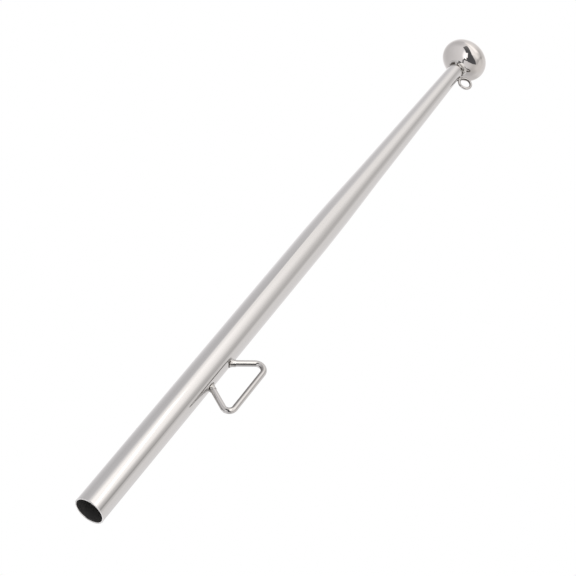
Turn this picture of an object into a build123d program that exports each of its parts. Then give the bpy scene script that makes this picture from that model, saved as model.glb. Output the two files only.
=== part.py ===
# Polished stainless flagstaff for a deck or rail socket, in millimetres.
# The open foot of the tube is at the origin and the staff stands along +Z.
# The halyard cleat is on the +X side.

import os
from math import atan2, cos, degrees, radians, sin, sqrt

from build123d import *

os.makedirs("parts", exist_ok=True)

# Tube
tube_diameter = 25.0
tube_wall = 1.2
seat_length = 120.0  # full-size foot that drops into the socket
polish_relief = 0.05  # radius lost to buffing by the top of the shank
shank_height = 341.5  # top of the straight shank, where the swaging starts
swage_length = 72.5  # the steeper stretch above the shank
swage_loss = 4.2  # diameter lost over the swaged stretch
taper_loss = 7.0  # diameter lost from there to the tube's top end
tube_reach = 5.0  # how far the tube runs on inside the ball
shoulder_blend = 1300.0  # easy curves where the slope changes
waist_blend = 500.0
rim_chamfer = 0.3

# Ball truck, a hollow flattened ball pressed from sheet
ball_diameter = 41.9
ball_upper_height = 14.4  # from the widest level to the top
ball_lower_height = 15.0  # from the widest level to the underside
ball_rim_radius = 10.4  # rounding of the outer rim, where the crowns start
ball_wall = 1.5
ball_level = 596.7  # height of the widest level

# Halyard cleat, a loop bent from one rod
cleat_rod_diameter = 5.0
cleat_rise = 38.9  # from the top of the seat to the loop's middle
cleat_foot_spacing = 28.5  # between the legs' centre lines where they meet the tube
cleat_side_length = 61.9  # between the corners of the outer side
cleat_stand_off = 25.5  # from the tube's surface to the outer side's centre line
cleat_lower_bend = 5.0  # bend radii on the rod's centre line
cleat_upper_bend = 6.6

# Halyard eye, a ring of wire
eye_wire_diameter = 2.5
eye_hole_diameter = 8.8
eye_drop = 3.0  # from the ball's underside down to the ring's top
eye_turn = 16.0  # degrees round the staff from the cleat's side

# Welds: each bead lies round a joint, a hair off both pieces
weld_fit = 0.1
cleat_bead_width = 1.2  # along the tube's surface
cleat_bead_height = 3.4  # along the leg
cleat_bead_lip = 0.2  # thickness where the bead ends on the leg
truck_bead_width = 2.0  # along the ball's underside
truck_bead_height = 3.6  # down the tube
truck_bead_lip = 0.2  # thickness where the bead ends on the tube
eye_bead_radius = 2.3

tube_radius = tube_diameter / 2
shank_radius = tube_radius - polish_relief
waist_height = shank_height + swage_length
waist_radius = tube_radius - swage_loss / 2
tip_radius = waist_radius - taper_loss / 2
ball_radius = ball_diameter / 2
cleat_rod_radius = cleat_rod_diameter / 2
cleat_level = seat_length + cleat_rise
cleat_reach = tube_radius + cleat_stand_off
eye_wire_radius = eye_wire_diameter / 2
eye_ring_radius = eye_hole_diameter / 2 + eye_wire_radius


def crown_radius(height):
    """Radius of the crown that runs on smoothly from the ball's rim to a pole."""
    rim = ball_rim_radius
    return (ball_radius**2 + height**2 - 2 * ball_radius * rim) / (2 * (height - rim))


def rim_turn(height):
    """Degrees of the rim's arc between the widest level and that crown."""
    return degrees(atan2(crown_radius(height) - height, ball_radius - ball_rim_radius))


def ball_underside(radius):
    """Height of the ball's lower crown at a distance from the staff's axis."""
    crown = crown_radius(ball_lower_height)
    return ball_level - ball_lower_height + crown - sqrt(crown**2 - radius**2)


neck_height = ball_underside(tip_radius)
tube_top = neck_height + tube_reach
taper_slope = (waist_radius - tip_radius) / (tube_top - waist_height)


def taper_radius(height):
    """Outer radius of the upper taper at a height above the foot."""
    return tip_radius + taper_slope * (tube_top - height)


with BuildPart() as staff_tube:
    with BuildSketch(Plane.XZ):
        with BuildLine():
            outside = FilletPolyline(
                (tube_radius, 0),
                (tube_radius, seat_length),
                (shank_radius, shank_height),
                (waist_radius, waist_height),
                (tip_radius, tube_top),
                radius=[0, shoulder_blend, waist_blend],
            )
            inside = FilletPolyline(
                (tube_radius - tube_wall, 0),
                (tube_radius - tube_wall, shank_height),
                (waist_radius - tube_wall, waist_height),
                (tip_radius - tube_wall, tube_top),
                radius=[shoulder_blend, waist_blend],
            )
            Line(outside @ 0, inside @ 0)
            Line(outside @ 1, inside @ 1)
        make_face()
    revolve(axis=Axis.Z)
    chamfer(staff_tube.faces().sort_by(Axis.Z)[0].edges(), rim_chamfer)

staff_tube.part.label = "staff_tube"
export_step(staff_tube.part, "parts/staff_tube.step")


# The ball's outer and inner skins: each outline is a rim arc that runs into a flatter crown
# above and below
with BuildPart() as truck_ball:
    for inset, mode in ((0, Mode.ADD), (ball_wall, Mode.SUBTRACT)):
        with BuildSketch(Plane.XZ):
            with BuildLine():
                lower_turn = rim_turn(ball_lower_height)
                upper_turn = rim_turn(ball_upper_height)
                rim = CenterArc(
                    (ball_radius - ball_rim_radius, ball_level),
                    ball_rim_radius - inset,
                    -lower_turn,
                    lower_turn + upper_turn,
                )
                upper_crown = JernArc(
                    rim @ 1, rim % 1, crown_radius(ball_upper_height) - inset, 90 - upper_turn
                )
                lower_crown = JernArc(
                    rim @ 0, rim % 0 * -1, crown_radius(ball_lower_height) - inset, lower_turn - 90
                )
                Line(upper_crown @ 1, lower_crown @ 1)
            make_face()
        revolve(axis=Axis.Z, mode=mode)
    with BuildSketch(Plane.XY.offset(tube_top)):
        Circle(taper_radius(neck_height) + weld_fit)
    extrude(amount=-2 * ball_lower_height, mode=Mode.SUBTRACT)

truck_ball.part.label = "truck_ball"
export_step(truck_ball.part, "parts/truck_ball.step")


# The cleat's loop, from the lower foot out, up the side and back to the upper foot.
# Its ends start inside the tube and are then cut back to the tube's surface.
lower_foot = Vector(tube_radius, 0, cleat_level - cleat_foot_spacing / 2)
lower_corner = Vector(cleat_reach, 0, cleat_level - cleat_side_length / 2)
upper_foot = Vector(tube_radius, 0, cleat_level + cleat_foot_spacing / 2)
upper_corner = Vector(cleat_reach, 0, cleat_level + cleat_side_length / 2)
lower_leg = (lower_corner - lower_foot).normalized()
upper_leg = (upper_corner - upper_foot).normalized()
root = cleat_rod_diameter  # how deep the legs start under the tube's surface

with BuildPart() as halyard_cleat:
    with BuildLine() as loop:
        FilletPolyline(
            lower_foot - lower_leg * root,
            lower_corner,
            upper_corner,
            upper_foot - upper_leg * root,
            radius=[cleat_lower_bend, cleat_upper_bend],
        )
    with BuildSketch(Plane(origin=loop.line @ 0, z_dir=loop.line % 0)):
        Circle(cleat_rod_radius)
    sweep(path=loop.line)
    with BuildSketch(Plane.XY):
        Circle(tube_radius + weld_fit)
    extrude(amount=shank_height, mode=Mode.SUBTRACT)

halyard_cleat.part.label = "halyard_cleat"
export_step(halyard_cleat.part, "parts/halyard_cleat.step")


# A flared bead round each foot of the cleat, from an oval on the tube to a circle on the leg
bead_inner = cleat_rod_radius + weld_fit
bead_side = bead_inner + cleat_bead_width
bead_base = sqrt(tube_radius**2 - bead_side**2)  # the oval's plane cuts the tube where the bead ends

for name, foot, leg in (
    ("cleat_weld_lower", lower_foot, lower_leg),
    ("cleat_weld_upper", upper_foot, upper_leg),
):
    oval_centre = foot - leg * ((tube_radius - bead_base) / leg.X)
    with BuildPart() as cleat_weld:
        with BuildSketch(Plane(origin=oval_centre, x_dir=(0, 1, 0), z_dir=(1, 0, 0))):
            Ellipse(bead_side, bead_inner / leg.X + cleat_bead_width)
        with BuildSketch(Plane(origin=foot + leg * cleat_bead_height, x_dir=(0, 1, 0), z_dir=leg)):
            Circle(bead_inner + cleat_bead_lip)
        loft()
        with BuildSketch(Plane(origin=foot, x_dir=(0, 1, 0), z_dir=leg)):
            Circle(bead_inner)
        extrude(amount=2 * cleat_bead_height, both=True, mode=Mode.SUBTRACT)
        with BuildSketch(Plane.XY):
            Circle(tube_radius + weld_fit)
        extrude(amount=shank_height, mode=Mode.SUBTRACT)
    cleat_weld.part.label = name
    export_step(cleat_weld.part, f"parts/{name}.step")


# The bead under the ball, a flare in the corner between the tube and the ball's underside
bead_foot = neck_height - truck_bead_height
bead_edge = tip_radius + weld_fit + truck_bead_width

with BuildPart() as truck_weld:
    with BuildSketch(Plane.XZ):
        with BuildLine():
            Polyline(
                (taper_radius(bead_foot) + weld_fit, bead_foot),
                (taper_radius(bead_foot) + weld_fit + truck_bead_lip, bead_foot),
                (bead_edge, ball_underside(bead_edge)),
                (taper_radius(neck_height) + weld_fit, neck_height),
                close=True,
            )
        make_face()
    revolve(axis=Axis.Z)
    with Locations((0, 0, ball_level - ball_lower_height + crown_radius(ball_lower_height))):
        Sphere(crown_radius(ball_lower_height) + weld_fit, mode=Mode.SUBTRACT)

truck_weld.part.label = "truck_weld"
export_step(truck_weld.part, "parts/truck_weld.step")


# The eye is a closed ring that stands on edge against the tube
eye_level = neck_height - eye_drop - eye_ring_radius - eye_wire_radius
eye_centre_reach = taper_radius(eye_level) + weld_fit + eye_ring_radius + eye_wire_radius
eye_side = Vector(cos(radians(eye_turn)), sin(radians(eye_turn)), 0)
eye_centre = eye_side * eye_centre_reach + Vector(0, 0, eye_level)
eye_axis = Axis(eye_centre, eye_side.cross(Vector(0, 0, 1)))

with BuildPart() as halyard_eye:
    with BuildSketch(Plane(origin=eye_centre, x_dir=eye_side, z_dir=(0, 0, 1))):
        with Locations((eye_ring_radius, 0)):
            Circle(eye_wire_radius)
    revolve(axis=eye_axis)

halyard_eye.part.label = "halyard_eye"
export_step(halyard_eye.part, "parts/halyard_eye.step")


# The eye's bead, a round blob over the spot where the ring meets the tube
contact = eye_side * (taper_radius(eye_level) + weld_fit) + Vector(0, 0, eye_level)

with BuildPart() as eye_weld:
    with Locations(contact):
        Sphere(eye_bead_radius)
    with BuildSketch(Plane.XZ):
        with BuildLine():
            Polyline(
                (0, waist_height),
                (waist_radius + weld_fit, waist_height),
                (tip_radius + weld_fit, tube_top),
                (0, tube_top),
                close=True,
            )
        make_face()
    revolve(axis=Axis.Z, mode=Mode.SUBTRACT)
    with BuildSketch(Plane(origin=eye_centre, x_dir=eye_side, z_dir=(0, 0, 1))):
        with Locations((eye_ring_radius, 0)):
            Circle(eye_wire_radius + weld_fit)
    revolve(axis=eye_axis, mode=Mode.SUBTRACT)

eye_weld.part.label = "eye_weld"
export_step(eye_weld.part, "parts/eye_weld.step")
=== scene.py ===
from math import atan2, cos, hypot, pi, radians, sin, sqrt, tan

import bmesh
import bpy
from mathutils import Matrix, Quaternion, Vector


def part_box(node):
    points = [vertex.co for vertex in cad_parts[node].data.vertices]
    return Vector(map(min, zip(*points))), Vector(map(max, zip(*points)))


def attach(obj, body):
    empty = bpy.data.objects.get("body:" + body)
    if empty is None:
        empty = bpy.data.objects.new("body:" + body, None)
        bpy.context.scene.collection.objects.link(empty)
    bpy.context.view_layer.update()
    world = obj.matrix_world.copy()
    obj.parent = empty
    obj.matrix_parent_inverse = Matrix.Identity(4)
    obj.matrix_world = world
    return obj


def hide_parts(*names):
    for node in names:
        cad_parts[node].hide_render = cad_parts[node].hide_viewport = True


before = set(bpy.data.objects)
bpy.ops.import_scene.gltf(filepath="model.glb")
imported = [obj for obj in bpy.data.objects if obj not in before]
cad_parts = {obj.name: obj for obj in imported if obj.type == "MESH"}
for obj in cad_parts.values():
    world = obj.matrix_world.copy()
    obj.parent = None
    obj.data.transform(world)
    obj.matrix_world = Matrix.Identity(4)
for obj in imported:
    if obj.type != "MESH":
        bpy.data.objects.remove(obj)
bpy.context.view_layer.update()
scene = bpy.context.scene
scene.view_settings.view_transform = "Standard"
print("frame loaded:", ", ".join(sorted(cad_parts)))


# the camera looks up the staff from below its foot, rolled so that the staff leans to the right
cameraSet = {
    "aim": (0.00764, 0.00308, 0.26743),
    "distance": 1.43292,
    "azimuth": 22.0,
    "elevation": -36.471,
    "roll": 39.509,
    "lens": 110.625,
    "clipEnd": 50,
}


def cameraTurn(c):
    azimuth, elevation = radians(c["azimuth"]), radians(c["elevation"])
    back = Vector((sin(azimuth) * cos(elevation), -cos(azimuth) * cos(elevation), sin(elevation)))
    level = (-back).to_track_quat("-Z", "Y")
    return level @ Quaternion((0, 0, 1), radians(c["roll"])), back


def makeCamera(c):
    turn, back = cameraTurn(c)
    bpy.ops.object.camera_add(location=Vector(c["aim"]) + back * c["distance"], rotation=turn.to_euler())
    camera = bpy.context.object
    camera.data.lens = c["lens"]
    camera.data.clip_end = c["clipEnd"]
    scene.camera = camera


makeCamera(cameraSet)
print("camera placed")


# one shader value: sums on it add Math nodes
class Wire:
    def __init__(self, nodes, socket):
        self.nodes = nodes
        self.socket = socket

    def math(self, operation, *values):
        return self.nodes.make("ShaderNodeMath", {"operation": operation}, list(values))

    def __add__(self, other):
        return self.math("ADD", self, other)

    def __radd__(self, other):
        return self.math("ADD", other, self)

    def __sub__(self, other):
        return self.math("SUBTRACT", self, other)

    def __rsub__(self, other):
        return self.math("SUBTRACT", other, self)

    def __mul__(self, other):
        return self.math("MULTIPLY", self, other)

    def __rmul__(self, other):
        return self.math("MULTIPLY", other, self)

    def __lt__(self, other):
        return self.math("LESS_THAN", self, other)


# one node tree: make() adds any node by its type, its settings and its sockets
class Nodes:
    def __init__(self, tree):
        self.tree = tree
        tree.nodes.clear()

    def make(self, kind, settings, inputs, output=0):
        node = self.tree.nodes.new(kind)
        for key, value in settings.items():
            if key == "stops":
                self.fillRamp(node.color_ramp, value)
            else:
                setattr(node, key, value)
        pairs = inputs.items() if isinstance(inputs, dict) else enumerate(inputs)
        for key, value in pairs:
            if isinstance(value, Wire):
                self.tree.links.new(value.socket, node.inputs[key])
            else:
                node.inputs[key].default_value = value
        return Wire(self, node.outputs[output]) if node.outputs else None

    def fillRamp(self, ramp, stops):
        while len(ramp.elements) < len(stops):
            ramp.elements.new(1)
        for element, (place, colour) in zip(ramp.elements, stops):
            element.position = place
            element.color = (*colour, 1)

    def smooth(self, value, low, high, start=0.0, end=1.0):
        settings = {"interpolation_type": "SMOOTHSTEP"}
        return self.make("ShaderNodeMapRange", settings, [value, low, high, start, end])

    def split(self, vector):
        first = self.make("ShaderNodeSeparateXYZ", {}, [vector])
        return [Wire(self, output) for output in first.socket.node.outputs]

    def mixColour(self, factor, first, second):
        return self.make("ShaderNodeMix", {"data_type": "RGBA"}, {0: factor, 6: first, 7: second}, 2)


white = (1, 1, 1, 1)


# the studio is laid out round the camera, in degrees: turn runs to its right from straight behind it,
# and rise runs to its top. The room is three soft bands of grey. Lamps and boards are cards in front
# of it, each with its corners, the softness of its edges and its level, and a later card covers
# an earlier one
studioSet = {
    "high": [
        (-180, 0.98), (-150, 0.86), (-125, 0.75), (-95, 0.77), (-55, 0.80), (-25, 0.90), (5, 1.10),
        (25, 1.35), (75, 1.28), (108, 1.14), (180, 0.98),
    ],
    "middle": [
        (-180, 1.10), (-168, 1.14), (-156, 1.02), (-143, 0.88), (-113, 0.80), (-83, 0.88), (-53, 1.00),
        (-38, 1.06), (0, 1.10), (20, 1.30), (40, 1.36), (52, 1.20), (62, 1.00), (75, 0.86), (90, 0.84),
        (112, 0.90), (127, 0.98), (145, 1.08), (165, 1.12), (180, 1.10),
    ],
    "low": [
        (-180, 0.82), (-68, 0.95), (-38, 1.05), (0, 0.92), (25, 0.78), (45, 0.88), (60, 0.98),
        (130, 0.98), (157, 0.84), (180, 0.82),
    ],
    "highFade": (28, 62),
    "lowFade": (-35, 0),
    "cards": [
        ([(24, 70), (50, 72), (70, 24), (38, 18)], 18, 1.66),  # lamp, high on the right
        ([(94, -45), (94, 8), (150, 8), (150, -45)], 9, 1.03),  # pale board, far right
        ([(26, -46), (44, -46), (60, -18), (44, -16)], 8, 0.70),  # grey boards that climb to the right
        ([(46, -20), (60, -18), (82, 4), (68, 4)], 14, 0.68),
        ([(70, -2), (84, -2), (90, 14), (78, 14)], 7, 0.52),
        ([(73, 8), (90, 8), (97, 34), (84, 34)], 9, 0.74),
        ([(2, 56), (20, 54), (32, 0), (7, -8)], 6, 1.48),  # strip lamp, right of the figure
        ([(-35, -14), (-29, -31), (-4, -31), (-4, 5), (-25, 9)], 14, 1.75),  # soft lamp, low on its left
        ([(-140, -30), (-140, -72), (-92, -72), (-92, -30)], 6, 1.50),  # lamp, low on the far left
        ([(-168, -28), (-142, -47), (-140, -37), (-161, -20)], 5, 0.30),  # dark strip, past the staff
        ([(-159, -21), (-139, -36), (-128, -29), (-147, -20)], 4, 1.70),  # bright strip above it
    ],
    "under": 0.70,  # straight below
    "underFade": (-80, -58),
    "tintCool": (1.0, 0.980, 0.995),
    "tintWarm": (1.0, 0.966, 0.948),
    "warmFrom": (-30, 30),  # the right side is warm, and past it the room cools a little
    "warmUntil": (60, 150),
    "warmBeyond": 0.4,
    # the dark outline of someone who stands at the camera, paler towards the head
    "figureLow": (0.125, 0.125, 0.132),
    "figureHigh": (0.270, 0.265, 0.268),
    "figureFade": (5, 50),
    "figureEdge": 2.0,
    "figureCards": [
        [(-29, 35), (-19, 0), (8, -4), (8, 24), (6, 50), (-6, 54)],
        [(-10, 2), (-12, -24), (17, -24), (7, -3)],
        [(-12, -20), (-12, -39), (15, -48), (38, -48), (15, -20)],
        [(-10, -20), (-28, -23), (-33, -29), (-14, -36), (15, -46), (10, -30)],
        [(-28, -26), (-36, -27), (-43, -44), (-37, -44)],
    ],
}


def insideCard(nodes, turn, rise, corners, edge):
    # corners run round the card, and a point inside lies on the middle's side of every edge
    mask = 1.0
    middle = [sum(corner[k] for corner in corners) / len(corners) for k in range(2)]
    for (turnA, riseA), (turnB, riseB) in zip(corners, corners[1:] + corners[:1]):
        across, along = riseA - riseB, turnB - turnA
        length = hypot(across, along)
        side = across * (middle[0] - turnA) + along * (middle[1] - riseA)
        sign = 1 if side > 0 else -1
        across, along = sign * across / length, sign * along / length
        reach = turn * across + rise * along - (turnA * across + riseA * along)
        mask = nodes.smooth(reach, -edge / 2, edge / 2) * mask
    return mask


def makeStudio(s, c):
    world = bpy.data.worlds.new("studio")
    scene.world = world
    world.use_nodes = True
    nodes = Nodes(world.node_tree)
    direction = nodes.make("ShaderNodeTexCoord", {}, [], "Generated")
    quaternion = cameraTurn(c)[0]
    axes = [quaternion @ Vector(axis) for axis in ((1, 0, 0), (0, 1, 0), (0, 0, 1))]
    right, up, back = [
        nodes.make("ShaderNodeVectorMath", {"operation": "DOT_PRODUCT"}, [direction, axis], "Value")
        for axis in axes
    ]
    turn = right.math("ARCTAN2", right, back) * (180 / pi)
    rise = up.math("ARCSINE", up) * (180 / pi)
    share = turn * (1 / 360) + 0.5  # of the whole circle, from straight ahead
    bands = []
    for name in ("low", "middle", "high"):
        stops = [((angle + 180) / 360, (level, level, level)) for angle, level in s[name]]
        bands.append(nodes.make("ShaderNodeValToRGB", {"stops": stops}, [share]))
    grey = nodes.mixColour(nodes.smooth(rise, *s["lowFade"]), bands[0], bands[1])
    grey = nodes.mixColour(nodes.smooth(rise, *s["highFade"]), grey, bands[2])
    under = s["under"]
    grey = nodes.mixColour(nodes.smooth(rise, *s["underFade"], 1, 0), grey, (under, under, under, 1))
    for corners, edge, level in s["cards"]:
        mask = insideCard(nodes, turn, rise, corners, edge)
        grey = nodes.mixColour(mask, grey, (level, level, level, 1))
    warmth = nodes.smooth(turn, *s["warmFrom"]) * nodes.smooth(turn, *s["warmUntil"], 1, s["warmBeyond"])
    tint = nodes.mixColour(warmth, (*s["tintCool"], 1), (*s["tintWarm"], 1))
    settings = {"data_type": "RGBA", "blend_type": "MULTIPLY"}
    light = nodes.make("ShaderNodeMix", settings, {0: 1.0, 6: grey, 7: tint}, 2)
    outline = None
    for corners in s["figureCards"]:
        mask = insideCard(nodes, turn, rise, corners, s["figureEdge"])
        outline = mask if outline is None else mask.math("MAXIMUM", outline, mask)
    paler = nodes.smooth(rise, *s["figureFade"])
    figure = nodes.mixColour(paler, (*s["figureLow"], 1), (*s["figureHigh"], 1))
    light = nodes.mixColour(outline, light, figure)
    seen = nodes.make("ShaderNodeLightPath", {}, [], "Is Camera Ray")
    light = nodes.mixColour(seen, light, white)
    nodes.make("ShaderNodeOutputWorld", {}, [nodes.make("ShaderNodeBackground", {}, [light, 1.0])])


makeStudio(studioSet, cameraSet)
print("studio lit")


mergeGap = 2e-6  # vertices this close become one
near = 1e-5  # places this close count as the same
sharpAngle = 35  # degrees, past which an edge stays sharp
pointSize = 0.001  # of the small plane that is merged to one vertex


def openPiece(name):
    bpy.context.object.name = name
    bpy.ops.object.mode_set(mode="EDIT")
    bpy.ops.mesh.select_mode(type="VERT")
    bpy.ops.mesh.select_all(action="SELECT")
    return bpy.context.object


def startCircle(name, radius, sides, place=(0, 0, 0), facing=(0, 0, 1)):
    bpy.ops.object.select_all(action="DESELECT")
    turn = Vector(facing).to_track_quat("Z", "Y").to_euler()
    bpy.ops.mesh.primitive_circle_add(vertices=sides, radius=radius, location=place, rotation=turn)
    return openPiece(name)


def startPoint(name, place):
    # one vertex, from which an outline is drawn
    bpy.ops.object.select_all(action="DESELECT")
    bpy.ops.mesh.primitive_plane_add(size=pointSize, location=place)
    piece = openPiece(name)
    bpy.ops.mesh.merge(type="CENTER")
    return piece


def pushOut(step):
    bpy.ops.mesh.extrude_region_move(TRANSFORM_OT_translate={"value": tuple(step)})


def pick(piece, kind, test):
    # selects the vertices or edges whose places pass the test
    bpy.ops.mesh.select_all(action="DESELECT")
    bpy.ops.mesh.select_mode(type=kind)
    mesh = bmesh.from_edit_mesh(piece.data)
    toWorld = piece.matrix_world
    for part in mesh.verts if kind == "VERT" else mesh.edges:
        corners = [part] if kind == "VERT" else part.verts
        if all(test(toWorld @ corner.co) for corner in corners):
            part.select_set(True)
    mesh.select_flush_mode()
    bmesh.update_edit_mesh(piece.data)


def finishPiece(piece, node, material):
    bpy.ops.mesh.select_all(action="SELECT")
    bpy.ops.mesh.remove_doubles(threshold=mergeGap)
    bpy.ops.mesh.normals_make_consistent(inside=False)
    bpy.ops.object.mode_set(mode="OBJECT")
    bpy.ops.object.transform_apply(location=True, rotation=True, scale=True)
    bpy.ops.object.shade_smooth_by_angle(angle=radians(sharpAngle))
    piece.data.materials.append(material)
    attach(piece, "root")
    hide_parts(node)
    print(f"{piece.name} made, {len(piece.data.polygons)} faces")


def applyModifier(piece, kind, settings):
    bpy.ops.object.modifier_add(type=kind)
    modifier = piece.modifiers[-1]
    for key, value in settings.items():
        setattr(modifier, key, value)
    bpy.ops.object.modifier_apply(modifier=modifier.name)


def newMaterial(name):
    material = bpy.data.materials.new(name)
    material.use_nodes = True
    return material, Nodes(material.node_tree)


def stretchedNoise(nodes, place, stretch, scale, detail=2.0):
    spread = nodes.make("ShaderNodeMapping", {}, {"Vector": place, "Scale": stretch})
    return nodes.make("ShaderNodeTexNoise", {}, {"Vector": spread, "Scale": scale, "Detail": detail})


tubeSteelSet = {
    "colour": (0.60, 0.595, 0.588),
    "colourDull": (0.585, 0.578, 0.57),
    "roughness": 0.05,
    "streakStretch": (1, 1, 0.02),
    "streakScale": 2500,
    "streakRough": 0.03,
    "streakBump": 0.04,
    "streakDepth": 0.0001,
    "smearStretch": (1, 1, 0.25),
    "smearScale": 60,
    "smearRough": 0.03,
    # painted shade inside the bore, which is also dull
    "bore": (0.085, 0.083, 0.082),
    "boreFacing": -0.0005,
    "boreStart": (0.0004, 0.0008),
    "boreRough": 0.4,
    "boreMetalLoss": 0.6,
}


def tubeSteel(s):
    material, nodes = newMaterial("tubeSteel")
    place = nodes.make("ShaderNodeTexCoord", {}, [], "Object")
    streaks = stretchedNoise(nodes, place, s["streakStretch"], s["streakScale"])
    smears = stretchedNoise(nodes, place, s["smearStretch"], s["smearScale"])
    colour = nodes.mixColour(smears, (*s["colour"], 1), (*s["colourDull"], 1))
    rough = s["roughness"] + streaks * s["streakRough"] + smears * s["smearRough"]
    # the bore is what faces the axis, above the bright rim: painted shade makes it dark and less metallic,
    # and it is dull
    facing = nodes.make("ShaderNodeNewGeometry", {}, [], "True Normal")
    fx, fy = nodes.split(facing)[:2]
    px, py, pz = nodes.split(place)
    bore = ((fx * px + fy * py) < s["boreFacing"]) * nodes.smooth(pz, *s["boreStart"])
    colour = nodes.mixColour(bore, colour, (*s["bore"], 1))
    rough = rough + bore * s["boreRough"]
    bumpInputs = {"Strength": s["streakBump"], "Distance": s["streakDepth"], "Height": streaks}
    bump = nodes.make("ShaderNodeBump", {}, bumpInputs)
    shader = nodes.make("ShaderNodeBsdfPrincipled", {}, {
        "Base Color": colour, "Metallic": 1 - bore * s["boreMetalLoss"], "Roughness": rough, "Normal": bump})
    nodes.make("ShaderNodeOutputMaterial", {}, [shader])
    return material


def cleatShade(nodes, place, normal, s):
    # painted shade on the side of the loop's upright that faces the tube
    inward = nodes.smooth(nodes.split(normal)[0], *s["facing"], s["depth"], 0)
    return inward * nodes.smooth(nodes.split(place)[0], *s["reach"])


def eyeShade(nodes, place, normal, s):
    # painted shade on the inside of the ring, and on its upper side, close under the ball
    low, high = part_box("halyard_eye")
    towards = nodes.make("ShaderNodeVectorMath", {"operation": "SUBTRACT"}, [(low + high) / 2, place])
    towards = nodes.make("ShaderNodeVectorMath", {"operation": "NORMALIZE"}, [towards])
    facing = nodes.make("ShaderNodeVectorMath", {"operation": "DOT_PRODUCT"}, [towards, normal], "Value")
    upper = nodes.smooth(nodes.split(normal)[2], *s["upper"])
    return facing.math("MAXIMUM", nodes.smooth(facing, *s["inner"]), upper)


ballSteelSet = {
    "colour": (0.615, 0.598, 0.582),
    "colourDull": (0.575, 0.552, 0.532),
    "roughness": 0.02,
    "smearScale": 120,
    "smearRough": 0.03,
}
# on a bent rod, painted shade darkens the sides that face the tube or lie close under the ball, and those
# sides are a little rougher
rodSteelSet = {
    "colour": (0.55, 0.54, 0.53),
    "colourDull": (0.50, 0.49, 0.48),
    "smearScale": 120,
    "smearRough": 0.03,
    "unpolished": (0.10, 0.09, 0.08),
    "unpolishedRough": 0.12,
}
cleatSteelSet = rodSteelSet | {
    "roughness": 0.09,
    "shade": cleatShade,
    "facing": (-0.65, 0.35),
    "depth": 0.64,
    "reach": (0.028, 0.036),
}
eyeSteelSet = rodSteelSet | {
    "roughness": 0.06,
    "shade": eyeShade,
    "inner": (0.0, 0.85),
    "upper": (0.25, 0.75),
}


def mirrorSteel(name, s):
    material, nodes = newMaterial(name)
    place = nodes.make("ShaderNodeTexCoord", {}, [], "Object")
    smears = stretchedNoise(nodes, place, (1, 1, 1), s["smearScale"])
    colour = nodes.mixColour(smears, (*s["colour"], 1), (*s["colourDull"], 1))
    rough = s["roughness"] + smears * s["smearRough"]
    if "shade" in s:
        normal = nodes.make("ShaderNodeNewGeometry", {}, [], "Normal")
        mask = s["shade"](nodes, place, normal, s)
        # painted shade where the mask falls, on the sides that face the tube or lie under the ball
        colour = nodes.mixColour(mask, colour, (*s["unpolished"], 1))
        rough = rough + mask * s["unpolishedRough"]
    shader = nodes.make("ShaderNodeBsdfPrincipled", {}, {
        "Base Color": colour, "Metallic": 1.0, "Roughness": rough})
    nodes.make("ShaderNodeOutputMaterial", {}, [shader])
    return material


weldSteelSet = {
    "colour": (0.56, 0.55, 0.535),
    "colourDark": (0.07, 0.06, 0.05),
    "roughness": 0.08,
    "darkRough": 0.25,
    "speckScale": 1100,
    "specks": (0.60, 0.70),
    "rippleScale": 420,
    "rippleDetail": 1.0,
    "rippleBump": 0.35,
    "rippleDepth": 0.0004,
    # a broken line of painted shade along the toe of each bead
    "toeShade": (0.0003, 0.0008),
    "toeShadeBreaks": (0.39, 0.54),
    "upperWelds": (0.3, 0.5),
    "upperNarrowing": 0.6,
}


def weldSteel(s, t):
    material, nodes = newMaterial("weldSteel")
    place = nodes.make("ShaderNodeTexCoord", {}, [], "Object")
    specks = stretchedNoise(nodes, place, (1, 1, 1), s["speckScale"])
    ripples = stretchedNoise(nodes, place, (1, 1, 1), s["rippleScale"], s["rippleDetail"])
    # a broken dark line of painted shade along the toe of each bead, where it lies against the tube.
    # It is wider on the welds under the ball, so distances count for less there
    px, py, pz = nodes.split(place)
    reach = px.math("SQRT", px * px + py * py)
    taper = t["tipRadius"] + t["slope"] * (t["top"] - pz)
    narrowing = nodes.smooth(pz, *s["upperWelds"], 1.0, s["upperNarrowing"])
    distance = (reach - px.math("MINIMUM", t["footRadius"], taper)) * narrowing
    toeShade = nodes.smooth(distance, *s["toeShade"], 1, 0) * nodes.smooth(ripples, *s["toeShadeBreaks"])
    mask = px.math("MAXIMUM", nodes.smooth(specks, *s["specks"]), toeShade)
    colour = nodes.mixColour(mask, (*s["colour"], 1), (*s["colourDark"], 1))
    bumpInputs = {"Strength": s["rippleBump"], "Distance": s["rippleDepth"], "Height": ripples}
    bump = nodes.make("ShaderNodeBump", {}, bumpInputs)
    rough = s["roughness"] + mask * s["darkRough"]
    shader = nodes.make("ShaderNodeBsdfPrincipled", {}, {
        "Base Color": colour, "Metallic": 1.0, "Roughness": rough, "Normal": bump})
    nodes.make("ShaderNodeOutputMaterial", {}, [shader])
    return material


# metres: heights above the foot, and radii. The waist is where the upper taper starts
tubeSet = {
    "sides": 160,
    "wall": 0.0012,
    "seatTop": 0.12,  # the full-size foot that drops into a socket
    "shankTop": 0.3415,
    "shankRadius": 0.01245,
    "waist": 0.414,
    "waistRadius": 0.0104,
    "tipRadius": 0.0069,
    "shoulderBlend": 0.018,
    "shoulderSteps": 12,
    "waistBlend": 0.002,
    "waistSteps": 4,
    "rimRound": 0.0003,
    "rimSteps": 2,
    "rimLoop": 0.0008,
}
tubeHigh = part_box("staff_tube")[1]
tubeSet["top"] = tubeHigh.z
tubeSet["footRadius"] = tubeHigh.x
tubeSet["slope"] = (tubeSet["waistRadius"] - tubeSet["tipRadius"]) / (tubeHigh.z - tubeSet["waist"])


def outerWidth(height):
    # the tube's outer radius on the upper taper
    return tubeSet["tipRadius"] + tubeSet["slope"] * (tubeSet["top"] - height)


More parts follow.
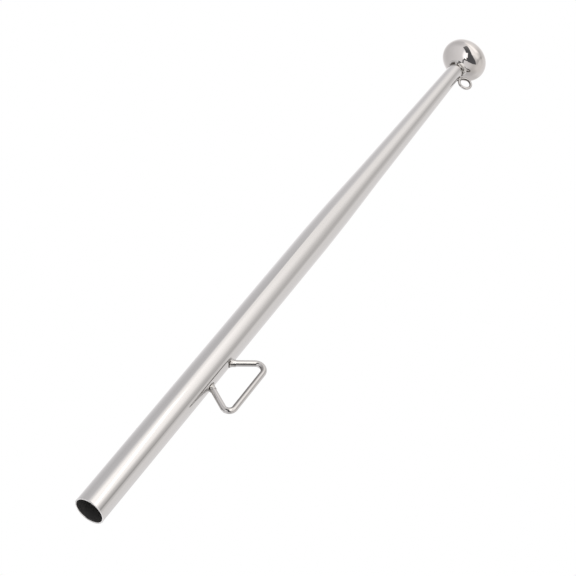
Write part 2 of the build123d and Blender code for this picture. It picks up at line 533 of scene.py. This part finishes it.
tubeFinish = tubeSteel(tubeSteelSet)
ballFinish = mirrorSteel("ballSteel", ballSteelSet)
cleatFinish = mirrorSteel("cleatSteel", cleatSteelSet)
eyeFinish = mirrorSteel("eyeSteel", eyeSteelSet)
weldFinish = weldSteel(weldSteelSet, tubeSet)
print("materials made")


def makeTube(t):
    radius = t["footRadius"]
    inside = radius - t["wall"]
    piece = startCircle("staffTube", radius, t["sides"])
    # heights and radii up the outside and down the inside
    stations = [
        (t["rimLoop"], radius),
        (t["seatTop"], radius),
        (t["shankTop"], t["shankRadius"]),
        (t["waist"], t["waistRadius"]),
        (t["top"], t["tipRadius"]),
        (t["top"], t["tipRadius"] - t["wall"]),
        (t["waist"], t["waistRadius"] - t["wall"]),
        (t["shankTop"], inside),
        (t["rimLoop"], inside),
        (0, inside),
    ]
    height, width = 0, radius
    for nextHeight, nextWidth in stations:
        pushOut((0, 0, nextHeight - height))
        shrink = nextWidth / width
        bpy.ops.transform.resize(value=(shrink, shrink, 1), center_override=(0, 0, nextHeight))
        height, width = nextHeight, nextWidth
    pick(piece, "EDGE", lambda p: p.z < near)
    bpy.ops.mesh.bridge_edge_loops()
    pick(piece, "EDGE", lambda p: p.z < near)
    bpy.ops.mesh.bevel(offset=t["rimRound"], segments=t["rimSteps"], affect="EDGES")
    for place, blend, steps in (
        (t["shankTop"], t["shoulderBlend"], t["shoulderSteps"]),
        (t["waist"], t["waistBlend"], t["waistSteps"]),
    ):
        pick(piece, "EDGE", lambda p: abs(p.z - place) < near)
        bpy.ops.mesh.bevel(offset=blend, segments=steps, affect="EDGES")
    finishPiece(piece, "staff_tube", tubeFinish)


makeTube(tubeSet)


ballSet = {
    "sides": 160,
    "rimRadius": 0.0104,
    "upperHeight": 0.0144,
    "lowerHeight": 0.015,
    "wall": 0.0015,
    "fit": 0.0001,
    "rimSteps": 28,
    "crownSteps": 20,
}


def crownRadius(b, radius, height):
    # of the crown that runs on smoothly from the rim's arc to a pole
    return (radius ** 2 + height ** 2 - 2 * radius * b["rimRadius"]) / (2 * (height - b["rimRadius"]))


def ballUnderside(b, width):
    # the height of the lower crown's surface at a distance from the axis
    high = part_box("truck_ball")[1]
    crown = crownRadius(b, high.x, b["lowerHeight"])
    return high.z - b["upperHeight"] - b["lowerHeight"] + crown - sqrt(crown ** 2 - width ** 2)


def swing(centre, angle, steps):
    # carries the outline's last vertex round a centre in the XZ plane; plus is anticlockwise from +X to +Z
    bpy.ops.mesh.spin(steps=steps, angle=angle, center=centre, axis=(0, 1, 0))


def makeBall(b):
    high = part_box("truck_ball")[1]
    radius = high.x
    level = high.z - b["upperHeight"]
    rimCentre = Vector((radius - b["rimRadius"], 0, level))
    upper = crownRadius(b, radius, b["upperHeight"])
    lower = crownRadius(b, radius, b["lowerHeight"])
    upperCentre = Vector((0, 0, high.z - upper))
    lowerCentre = Vector((0, 0, level - b["lowerHeight"] + lower))
    upperTurn = atan2(upper - b["upperHeight"], rimCentre.x)
    lowerTurn = atan2(lower - b["lowerHeight"], rimCentre.x)
    hole = outerWidth(ballUnderside(b, tubeSet["tipRadius"])) + b["fit"]
    inner = lower - b["wall"]
    holeInner = lowerCentre.z - sqrt(inner ** 2 - hole ** 2)
    holeOuter = lowerCentre.z - sqrt(lower ** 2 - hole ** 2)

    piece = startPoint("truckBall", (0, 0, high.z - b["wall"]))
    swing(upperCentre, -(pi / 2 - upperTurn), b["crownSteps"])
    swing(rimCentre, -(upperTurn + lowerTurn), b["rimSteps"])
    swing(lowerCentre, -(pi / 2 - lowerTurn - atan2(hole, lowerCentre.z - holeInner)), b["crownSteps"])
    pushOut((0, 0, holeOuter - holeInner))
    swing(lowerCentre, pi / 2 - lowerTurn - atan2(hole, lowerCentre.z - holeOuter), b["crownSteps"])
    swing(rimCentre, upperTurn + lowerTurn, b["rimSteps"])
    swing(upperCentre, pi / 2 - upperTurn, b["crownSteps"])
    bpy.ops.mesh.select_all(action="SELECT")
    bpy.ops.mesh.spin(steps=b["sides"], angle=2 * pi, center=(0, 0, 0), axis=(0, 0, 1))
    finishPiece(piece, "truck_ball", ballFinish)


makeBall(ballSet)


# a cylinder that reaches past both feet of the cleat
cutterSet = {"length": 0.2, "level": 0.16}


def cutToTube(piece, radius):
    # trims away what reaches inside the tube
    place = (0, 0, cutterSet["level"])
    bpy.ops.object.mode_set(mode="OBJECT")
    bpy.ops.object.select_all(action="DESELECT")
    bpy.ops.mesh.primitive_cylinder_add(
        vertices=tubeSet["sides"], radius=radius, depth=cutterSet["length"], location=place)
    cutter = bpy.context.object
    bpy.ops.object.select_all(action="DESELECT")
    piece.select_set(True)
    bpy.context.view_layer.objects.active = piece
    applyModifier(piece, "BOOLEAN", {"operation": "DIFFERENCE", "solver": "EXACT", "object": cutter})
    bpy.data.objects.remove(cutter)
    bpy.ops.object.mode_set(mode="EDIT")


cleatSet = {
    "sides": 40,
    "rodRadius": 0.0025,
    "footSpacing": 0.0285,
    "lowerBend": 0.005,
    "upperBend": 0.0066,
    "bendSteps": 14,
    "fit": 0.00005,
    "sideLength": 0.0619,
    "rise": 0.0389,  # from the top of the seat to the loop's middle
    "beadWidth": 0.0012,
    "beadHeight": 0.0034,
    "beadLip": 0.0002,
    "beadCuts": 7,
    "beadHollow": -0.12,
    "beadSides": 48,
    "beadLobes": 9,
    "beadSwell": 0.00008,
}


def cleatCorners(c):
    # the loop's centre line: its feet on the tube's surface and the corners of its outer side
    tube = tubeSet["footRadius"]
    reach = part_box("halyard_cleat")[1].x - c["rodRadius"]
    middle = tubeSet["seatTop"] + c["rise"]
    side = c["sideLength"]
    return [
        Vector((tube, 0, middle - c["footSpacing"] / 2)),
        Vector((reach, 0, middle - side / 2)),
        Vector((reach, 0, middle + side / 2)),
        Vector((tube, 0, middle + c["footSpacing"] / 2)),
    ]


def makeCleat(c):
    lowerFoot, lowerCorner, upperCorner, upperFoot = cleatCorners(c)
    lowerLeg = (lowerCorner - lowerFoot).normalized()
    upperLeg = (upperFoot - upperCorner).normalized()
    side = Vector((0, 0, 1))
    root = 2 * c["rodRadius"]
    start = lowerFoot - lowerLeg * root  # under the tube's surface, to be cut away
    piece = startCircle("halyardCleat", c["rodRadius"], c["sides"], start, lowerLeg)
    here = start
    for corner, before, after, bend in (
        (lowerCorner, lowerLeg, side, c["lowerBend"]),
        (upperCorner, side, upperLeg, c["upperBend"]),
    ):
        turn = before.angle(after)
        cut = bend * tan(turn / 2)
        pushOut(corner - before * cut - here)
        inward = (after - before * before.dot(after)).normalized()
        centre = corner - before * cut + inward * bend
        hinge = after.cross(before).normalized()
        bpy.ops.mesh.spin(steps=c["bendSteps"], angle=turn, center=centre, axis=hinge)
        here = corner + after * cut
    pushOut(upperFoot + upperLeg * root - here)
    bpy.ops.mesh.edge_face_add()
    pick(piece, "VERT", lambda p: (p - start).length < c["rodRadius"] + near)
    bpy.ops.mesh.edge_face_add()
    bpy.ops.mesh.select_all(action="SELECT")
    bpy.ops.mesh.normals_make_consistent(inside=False)
    cutToTube(piece, lowerFoot.x + c["fit"])
    finishPiece(piece, "halyard_cleat", cleatFinish)


makeCleat(cleatSet)


def ripple(piece, centre, axis, lobes, swell):
    # swells a bead into even ripples, as the welding torch leaves them
    side = axis.orthogonal().normalized()
    other = axis.cross(side)

    def inLobe(p):
        around = atan2((p - centre).dot(other), (p - centre).dot(side)) / (2 * pi) * lobes
        return around % 1 < 0.5

    pick(piece, "VERT", inLobe)
    bpy.ops.transform.shrink_fatten(value=swell)


def makeCleatWeld(c, name, node, foot, leg):
    # a flare from an oval on the tube to a circle on the leg, drawn in a little between them
    inner = c["rodRadius"] + 2 * c["fit"]
    side = inner + c["beadWidth"]
    base = sqrt(foot.x ** 2 - side ** 2)
    centre = foot - leg * ((foot.x - base) / leg.x)
    tall = (inner / leg.x + c["beadWidth"]) / side
    lip = inner + c["beadLip"]
    end = foot + leg * c["beadHeight"]
    turn = leg.to_track_quat("Z", "Y").to_euler()
    piece = startCircle(name, side, c["beadSides"], centre, (1, 0, 0))
    bpy.ops.transform.resize(value=(1, 1, tall), center_override=centre)
    bpy.ops.mesh.primitive_circle_add(vertices=c["beadSides"], radius=lip, location=end, rotation=turn)
    bpy.ops.mesh.select_all(action="SELECT")
    bpy.ops.mesh.bridge_edge_loops(
        number_cuts=c["beadCuts"], interpolation="LINEAR", profile_shape_factor=c["beadHollow"])
    pick(piece, "VERT", lambda p: (p - foot).dot(leg) > c["beadHeight"] - near)
    bpy.ops.mesh.edge_face_add()
    pick(piece, "VERT", lambda p: p.x < base + near)
    bpy.ops.mesh.edge_face_add()
    ripple(piece, foot, leg, c["beadLobes"], c["beadSwell"])
    bpy.ops.mesh.select_all(action="SELECT")
    bpy.ops.mesh.normals_make_consistent(inside=False)
    cutToTube(piece, foot.x + c["fit"])
    finishPiece(piece, node, weldFinish)


def makeCleatWelds(c):
    lowerFoot, lowerCorner, upperCorner, upperFoot = cleatCorners(c)
    makeCleatWeld(c, "cleatWeldLower", "cleat_weld_lower", lowerFoot, (lowerCorner - lowerFoot).normalized())
    makeCleatWeld(c, "cleatWeldUpper", "cleat_weld_upper", upperFoot, (upperCorner - upperFoot).normalized())


makeCleatWelds(cleatSet)


eyeSet = {
    "turn": 16.0,  # degrees round the staff from the cleat's side
    "wireRadius": 0.00125,
    "ringRadius": 0.00565,
    "sides": 28,
    "steps": 96,
    "fit": 0.0001,
    "blobRadius": 0.0023,
    "blobSides": 40,
    "blobRings": 24,
    "blobRough": 0.00012,
    "blobSeed": 3,
    "blobSmoothing": 0.5,
    "blobPasses": 2,
}


def eyePlaces(e):
    # the eye's side of the staff, and the middle of the ring
    side = Vector((cos(radians(e["turn"])), sin(radians(e["turn"])), 0))
    low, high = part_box("halyard_eye")
    level = (low.z + high.z) / 2
    reach = outerWidth(level) + e["fit"] + e["ringRadius"] + e["wireRadius"]
    return side, side * reach + Vector((0, 0, level))


def makeEye(e):
    side, centre = eyePlaces(e)
    piece = startCircle("halyardEye", e["wireRadius"], e["sides"], centre + side * e["ringRadius"])
    bpy.ops.mesh.spin(steps=e["steps"], angle=2 * pi, center=centre, axis=side.cross(Vector((0, 0, 1))))
    finishPiece(piece, "halyard_eye", eyeFinish)


makeEye(eyeSet)


def makeEyeWeld(e):
    side, centre = eyePlaces(e)
    # a round blob over the spot where the ring meets the tube, a little uneven
    contact = side * (outerWidth(centre.z) + e["fit"]) + Vector((0, 0, centre.z))
    bpy.ops.object.select_all(action="DESELECT")
    bpy.ops.mesh.primitive_uv_sphere_add(
        segments=e["blobSides"], ring_count=e["blobRings"], radius=e["blobRadius"], location=contact)
    piece = openPiece("eyeWeld")
    bpy.ops.transform.vertex_random(offset=e["blobRough"], seed=e["blobSeed"])
    bpy.ops.mesh.vertices_smooth(factor=e["blobSmoothing"], repeat=e["blobPasses"])
    finishPiece(piece, "eye_weld", weldFinish)


makeEyeWeld(eyeSet)


truckWeldSet = {
    "sides": 144,
    "height": 0.0036,
    "width": 0.0020,
    "lip": 0.0002,
    "hollow": 0.0003,
    "steps": 8,
}


def makeTruckWeld(w):
    # the corner between the tube and the ball, filled by an outline that is spun round the staff
    b = ballSet
    tip = tubeSet["tipRadius"]
    neck = ballUnderside(b, tip)
    base = neck - w["height"]
    reach = tip + b["fit"] + w["width"]
    edge = Vector((reach, 0, ballUnderside(b, reach)))
    foot = Vector((outerWidth(base) + b["fit"], 0, base))
    corner = Vector((outerWidth(neck) + b["fit"], 0, neck))
    lip = Vector((w["lip"], 0, 0))
    piece = startPoint("truckWeld", corner)
    pushOut(foot - corner)
    pushOut(lip)
    start = foot + lip
    chord = edge - start
    inward = Vector((-chord.z, 0, chord.x)).normalized()
    here = start
    for step in range(1, w["steps"] + 1):
        part = step / w["steps"]
        there = start + chord * part + inward * w["hollow"] * sin(pi * part)
        pushOut(there - here)
        here = there
    pushOut(corner - edge)
    bpy.ops.mesh.select_all(action="SELECT")
    bpy.ops.mesh.spin(steps=w["sides"], angle=2 * pi, center=(0, 0, 0), axis=(0, 0, 1))
    finishPiece(piece, "truck_weld", weldFinish)


makeTruckWeld(truckWeldSet)


# a small white card close to the cleat, which lights the upper side of its upper leg
boardSet = {
    "below": 0.0075,  # the loop's top
    "distance": 0.20,
    "turn": 8.0,
    "rise": 31.0,
    "width": 0.05,
    "height": 0.21,
    "colour": (2.10, 2.04, 1.98),
}


def makeBoard(b, c):
    low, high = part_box("halyard_cleat")
    turn, rise = radians(b["turn"]), radians(b["rise"])
    quaternion = cameraTurn(c)[0]
    away = quaternion @ Vector((sin(turn) * cos(rise), sin(rise), cos(turn) * cos(rise)))
    place = Vector(((low.x + high.x) / 2, 0, high.z - b["below"])) + away * b["distance"]
    right = (quaternion @ Vector((0, 1, 0))).cross(away).normalized()
    up = away.cross(right)
    bpy.ops.object.select_all(action="DESELECT")
    bpy.ops.mesh.primitive_plane_add(size=1, location=place)
    board = bpy.context.object
    board.name = "board"
    board.matrix_world = Matrix.LocRotScale(
        place, Matrix((right, up, away)).transposed(), Vector((b["width"], b["height"], 1)))
    material, nodes = newMaterial("boardWhite")
    shader = nodes.make("ShaderNodeEmission", {}, {"Color": (*b["colour"], 1)})
    nodes.make("ShaderNodeOutputMaterial", {}, [shader])
    board.data.materials.append(material)
    board.visible_camera = False
    board.visible_diffuse = False


makeBoard(boardSet, cameraSet)
print("board placed")


# a plain pale floor, well below the staff's foot, that fades into the white round it
floorSet = {
    "level": -2.6,
    "size": 16.0,
    "colour": (0.88, 0.88, 0.88),
    "fade": (1.0, 5.5),
}


def makeFloor(f):
    bpy.ops.object.select_all(action="DESELECT")
    bpy.ops.mesh.primitive_plane_add(size=f["size"], location=(0, 0, f["level"]))
    floor = bpy.context.object
    floor.name = "floor"
    material, nodes = newMaterial("paleFloor")
    shader = nodes.make("ShaderNodeBsdfDiffuse", {}, {"Color": (*f["colour"], 1)})
    glow = nodes.make("ShaderNodeEmission", {}, {"Color": white})
    place = nodes.make("ShaderNodeTexCoord", {}, [], "Object")
    px, py = nodes.split(place)[:2]
    reach = px.math("SQRT", px * px + py * py)
    shader = nodes.make("ShaderNodeMixShader", {}, {0: nodes.smooth(reach, *f["fade"]), 1: shader, 2: glow})
    nodes.make("ShaderNodeOutputMaterial", {}, [shader])
    floor.data.materials.append(material)
    floor.visible_glossy = False


makeFloor(floorSet)
print("floor laid")
